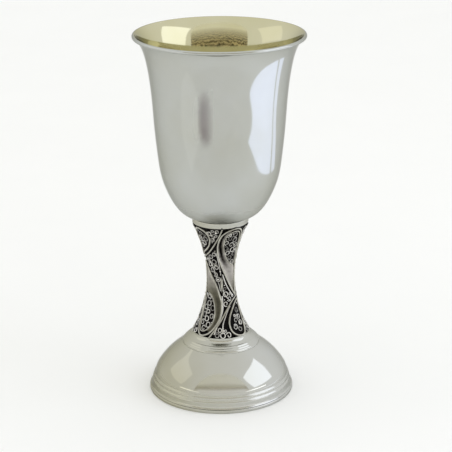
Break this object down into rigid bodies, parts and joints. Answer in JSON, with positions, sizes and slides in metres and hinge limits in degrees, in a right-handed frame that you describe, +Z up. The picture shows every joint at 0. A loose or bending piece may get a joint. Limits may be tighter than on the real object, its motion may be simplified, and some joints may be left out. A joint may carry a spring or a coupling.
{
  "type": "goblet",
  "caption": "Footed metal goblet with a flared bell bowl, a waisted stem wrapped in leaf-shaped openwork and a domed foot.",
  "frame": {"origin": "centre of the ring that the goblet stands on, on the surface", "axes": "+Z up through the bowl; -Y is the side the ornament's front faces"},
  "size_m": [0.069, 0.069, 0.15],
  "materials": {
    "polished_silver": "polished",
    "oxidised_silver": "satin",
    "zinc_steel": "satin"
  },
  "bodies": {
    "root": {"base_ring": "polished_silver", "bead_1": "polished_silver", "bead_2": "polished_silver", "bowl": "polished_silver", "branch_wire_lower_1": "polished_silver", "branch_wire_lower_2": "polished_silver", "branch_wire_upper_1": "polished_silver", "branch_wire_upper_2": "polished_silver", "channel_plate_lower_1": "polished_silver", "channel_plate_lower_2": "polished_silver", "channel_plate_upper_1": "polished_silver", "channel_plate_upper_2": "polished_silver", "clamp_washer": "zinc_steel", "eye_wire_lower_1": "polished_silver", "eye_wire_lower_2": "polished_silver", "eye_wire_upper_1": "polished_silver", "eye_wire_upper_2": "polished_silver", "foot_shell": "polished_silver", "leaf_frame_lower_1": "polished_silver", "leaf_frame_lower_2": "polished_silver", "leaf_frame_upper_1": "polished_silver", "leaf_frame_upper_2": "polished_silver", "lip_wire": "polished_silver", "lower_collar": "polished_silver", "nut": "zinc_steel", "petal_1": "polished_silver", "petal_2": "polished_silver", "shoulder_ring": "polished_silver", "small_leaf_frame_lower_1": "polished_silver", "small_leaf_frame_lower_2": "polished_silver", "small_leaf_frame_upper_1": "polished_silver", "small_leaf_frame_upper_2": "polished_silver", "stem_core": "oxidised_silver", "threaded_boss": "polished_silver", "tie_rod": "zinc_steel", "upper_collar": "polished_silver"}
  },
  "joints": []
}
